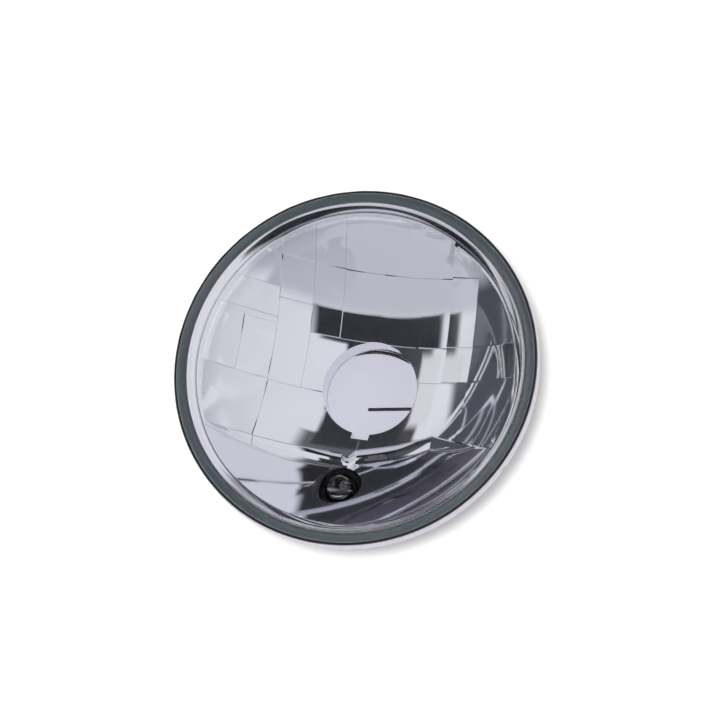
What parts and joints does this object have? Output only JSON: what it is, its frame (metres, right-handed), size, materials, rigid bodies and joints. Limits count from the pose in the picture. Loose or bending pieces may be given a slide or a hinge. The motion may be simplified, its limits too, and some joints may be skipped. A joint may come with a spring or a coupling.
{
  "type": "headlight insert",
  "caption": "Round headlight insert with a domed clear glass, a stepped mirror reflector, a rear bulb seat with a hinged wire clip, and a small pilot lamp.",
  "frame": {"origin": "on the optical axis, at the rear end of the collar", "axes": "+Z is the way the lamp shines, +Y is up when it is mounted, +X is to the right seen from the front"},
  "size_m": [0.146, 0.146, 0.0745],
  "materials": {
    "lens_glass": "clear polished glass, faint green at the thick rim",
    "sealant": "black sealing compound",
    "mirror_coat": "vacuum-metallised mirror coat",
    "plated_steel": "zinc-plated pressed steel",
    "rivet_steel": "plain steel",
    "spring_wire": "dark spring steel wire",
    "grommet_rubber": "black rubber",
    "holder_plastic": "black moulded plastic",
    "bulb_glass": "clear blown glass",
    "bulb_wire": "bare wire",
    "terminal_brass": "tinned brass"
  },
  "bodies": {
    "lamp": {"lens": "lens_glass", "lens_sealant": "sealant", "reflector": "mirror_coat", "seat_ring": "plated_steel", "seat_rivet_1": "rivet_steel", "seat_rivet_2": "rivet_steel", "seat_rivet_3": "rivet_steel", "clip_strap": "plated_steel", "strap_screw": "rivet_steel", "pilot_grommet": "grommet_rubber", "pilot_holder": "holder_plastic", "pilot_bulb": "bulb_glass", "pilot_filament": "bulb_wire", "pilot_lead_1": "bulb_wire", "pilot_lead_2": "bulb_wire", "pilot_terminal_1": "terminal_brass", "pilot_terminal_2": "terminal_brass"},
    "clip": {"bulb_clip": "spring_wire"}
  },
  "joints": [
    {"name": "clip_hinge", "type": "hinge", "parent": "lamp", "child": "clip", "pos_m": [-0.0256, -0.009, 0.0159], "axis": [0, 1, 0], "range_deg": [0, 86]}
  ]
}
